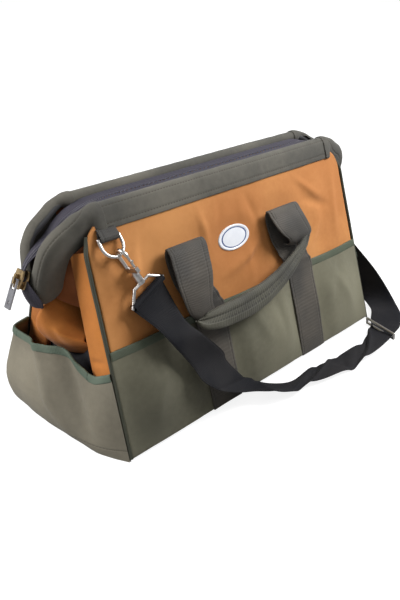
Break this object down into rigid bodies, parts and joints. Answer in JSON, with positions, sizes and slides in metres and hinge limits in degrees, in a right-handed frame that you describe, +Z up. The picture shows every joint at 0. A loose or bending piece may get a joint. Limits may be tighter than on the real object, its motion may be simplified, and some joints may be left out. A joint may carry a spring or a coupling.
{
  "type": "tool organizer bag",
  "caption": "Open-top canvas tool bag with a hinged gate mouth frame, zipper, outer and inner pockets, carry handles and a clip-on shoulder strap.",
  "frame": {"origin": "on the floor under the middle of the base", "axes": "+X along the bag towards its right end, -Y is the front with the badge, +Z up"},
  "size_m": [0.5784, 0.2882, 0.2632],
  "materials": {
    "canvas": "woven canvas",
    "pocket_cloth": "woven cloth",
    "binding": "folded tape",
    "webbing": "ribbed webbing",
    "board": "matte",
    "zipper": "woven tape and coil",
    "tube_steel": "satin black",
    "bright_steel": "nickel plated",
    "slider_brass": "brushed",
    "badge": "gloss",
    "strap_webbing": "ribbed webbing"
  },
  "bodies": {
    "base": {"base_panel": "pocket_cloth", "base_board": "board", "left_end_panel": "canvas", "right_end_panel": "canvas", "left_end_pocket": "pocket_cloth", "right_end_pocket": "pocket_cloth", "left_end_pocket_hem": "binding", "right_end_pocket_hem": "binding", "strap_floor": "strap_webbing"},
    "front_wall": {"front_panel": "canvas", "front_pocket": "pocket_cloth", "front_pocket_hem": "binding", "front_pipings": "binding", "front_organizer_pockets": "pocket_cloth", "front_gusset_leaves": "canvas", "front_left_web": "webbing", "front_right_web": "webbing", "front_sleeve": "webbing", "badge": "badge", "left_ring_tab": "webbing", "strap_front": "strap_webbing"},
    "back_wall": {"back_panel": "canvas", "back_pocket": "pocket_cloth", "back_pocket_hem": "binding", "back_pipings": "binding", "back_organizer_pockets": "pocket_cloth", "back_gusset_leaves": "canvas", "back_left_web": "webbing", "back_right_web": "webbing", "back_sleeve": "webbing", "right_ring_tab": "webbing", "strap_back": "strap_webbing"},
    "front_frame": {"front_frame_tube": "tube_steel", "front_arm_sleeves": "webbing", "front_zipper_tape": "zipper", "front_zipper_teeth": "zipper", "hinge_rivet_heads": "tube_steel"},
    "back_frame": {"back_frame_tube": "tube_steel", "back_arm_sleeves": "webbing", "back_zipper_tape": "zipper", "back_zipper_teeth": "zipper", "hinge_rivet_tails": "tube_steel"},
    "left_gusset": {"left_gusset_fold": "canvas"},
    "right_gusset": {"right_gusset_fold": "canvas"},
    "front_grip": {"front_handle": "webbing"},
    "back_grip": {"back_handle": "webbing"},
    "left_ring": {"left_d_ring": "bright_steel"},
    "left_hook": {"left_snap_hook": "bright_steel"},
    "left_gate": {"left_hook_gate": "bright_steel"},
    "left_strap_end": {"left_strap_ring": "bright_steel"},
    "right_ring": {"right_d_ring": "bright_steel"},
    "right_hook": {"right_snap_hook": "bright_steel"},
    "right_gate": {"right_hook_gate": "bright_steel"},
    "right_strap_end": {"right_strap_ring": "bright_steel"},
    "slider": {"zipper_slider": "slider_brass"},
    "pull": {"zipper_pull": "bright_steel"},
    "adjuster": {"strap_adjuster": "bright_steel"}
  },
  "joints": [
    {"name": "mouth_open", "type": "hinge", "parent": "base", "child": "front_wall", "pos_m": [0, -0.109, 0], "axis": [1, 0, 0], "range_deg": [0, 13.87], "deforming": ["front_gusset_leaves", "back_gusset_leaves", "left_gusset_fold", "right_gusset_fold", "front_arm_sleeves", "back_arm_sleeves", "front_zipper_tape", "back_zipper_tape", "front_zipper_teeth", "back_zipper_teeth", "strap_front", "strap_back"]},
    {"name": "back_wall_open", "type": "hinge", "parent": "base", "child": "back_wall", "pos_m": [0, 0.109, 0], "axis": [-1, 0, 0], "range_deg": [0, 13.87]},
    {"name": "front_frame_fold", "type": "hinge", "parent": "front_wall", "child": "front_frame", "pos_m": [0, -0.02426, 0.25539], "axis": [1, 0, 0], "range_deg": [0, 41.5]},
    {"name": "back_frame_fold", "type": "hinge", "parent": "back_wall", "child": "back_frame", "pos_m": [0, 0.02426, 0.25539], "axis": [-1, 0, 0], "range_deg": [0, 41.5]},
    {"name": "left_gusset_rise", "type": "slide", "parent": "base", "child": "left_gusset", "axis": [0, 0, 1], "range_m": [0, 0.0722]},
    {"name": "right_gusset_rise", "type": "slide", "parent": "base", "child": "right_gusset", "axis": [0, 0, 1], "range_m": [0, 0.0722]},
    {"name": "front_handle_swing", "type": "hinge", "parent": "front_wall", "child": "front_grip", "pos_m": [-0.0155, -0.05853, 0.19621], "axis": [-1, 0, 0], "range_deg": [0, 150], "deforming": ["front_left_web", "front_right_web", "strap_front"]},
    {"name": "back_handle_swing", "type": "hinge", "parent": "back_wall", "child": "back_grip", "pos_m": [0.0155, 0.05853, 0.19621], "axis": [1, 0, 0], "range_deg": [0, 150], "deforming": ["back_left_web", "back_right_web", "strap_back"]},
    {"name": "left_ring_swing", "type": "hinge", "parent": "front_wall", "child": "left_ring", "pos_m": [-0.19, -0.04248, 0.23063], "axis": [-1, 0, 0], "range_deg": [0, 45], "deforming": ["strap_front"]},
    {"name": "left_hook_swing", "type": "hinge", "parent": "left_ring", "child": "left_hook", "pos_m": [-0.18451, -0.05471, 0.21438], "axis": [-0.9135, -0.2446, -0.325], "range_deg": [0, 30], "deforming": ["strap_front"]},
    {"name": "left_gate_press", "type": "hinge", "parent": "left_hook", "child": "left_gate", "pos_m": [-0.17763, -0.0661, 0.20172], "axis": [-0.9135, -0.1187, -0.389], "range_deg": [0, 25], "stiffness_Nm_per_rad": 0.02, "springref_deg": -5.73},
    {"name": "left_strap_swivel", "type": "hinge", "parent": "left_hook", "child": "left_strap_end", "pos_m": [-0.18341, -0.05543, 0.21202], "axis": [0.4067, -0.2667, -0.8738], "range_deg": [-15, 15], "deforming": ["strap_front"]},
    {"name": "right_ring_swing", "type": "hinge", "parent": "back_wall", "child": "right_ring", "pos_m": [0.19, 0.04248, 0.23063], "axis": [1, 0, 0], "range_deg": [0, 45], "deforming": ["strap_back"]},
    {"name": "right_hook_swing", "type": "hinge", "parent": "right_ring", "child": "right_hook", "pos_m": [0.19774, 0.05394, 0.2154], "axis": [0.8192, -0.345, 0.4582], "range_deg": [0, 30], "deforming": ["strap_back"]},
    {"name": "right_gate_press", "type": "hinge", "parent": "right_hook", "child": "right_gate", "pos_m": [0.20744, 0.06487, 0.20426], "axis": [0.8192, -0.1674, 0.5486], "range_deg": [0, 25], "stiffness_Nm_per_rad": 0.02, "springref_deg": -5.73},
    {"name": "right_strap_swivel", "type": "hinge", "parent": "right_hook", "child": "right_strap_end", "pos_m": [0.19929, 0.05459, 0.21329], "axis": [0.5736, 0.2391, -0.7835], "range_deg": [-15, 15], "deforming": ["strap_back"]},
    {"name": "zipper_run", "type": "slide", "parent": "front_frame", "child": "slider", "axis": [0.4289, 0, 0.9033], "range_m": [0, 0.012], "deforming": ["front_zipper_tape", "back_zipper_tape", "front_zipper_teeth", "back_zipper_teeth", "front_arm_sleeves", "back_arm_sleeves"]},
    {"name": "pull_swing", "type": "hinge", "parent": "slider", "child": "pull", "pos_m": [-0.27665, 0, 0.19883], "axis": [0, 1, 0], "range_deg": [0, 150]},
    {"name": "adjuster_slide", "type": "slide", "parent": "base", "child": "adjuster", "axis": [0.9615, 0.2734, 0.0294], "range_m": [0, 0.02], "deforming": ["strap_floor"]}
  ],
  "couplings": [
    {"joint": "back_wall_open", "follows": "mouth_open", "ratio": 1},
    {"joint": "front_frame_fold", "follows": "mouth_open", "ratio": 2.9642},
    {"joint": "back_frame_fold", "follows": "mouth_open", "ratio": 2.9642},
    {"joint": "left_gusset_rise", "follows": "mouth_open", "m_per_rad": 0.2944},
    {"joint": "right_gusset_rise", "follows": "mouth_open", "m_per_rad": 0.2944}
  ]
}
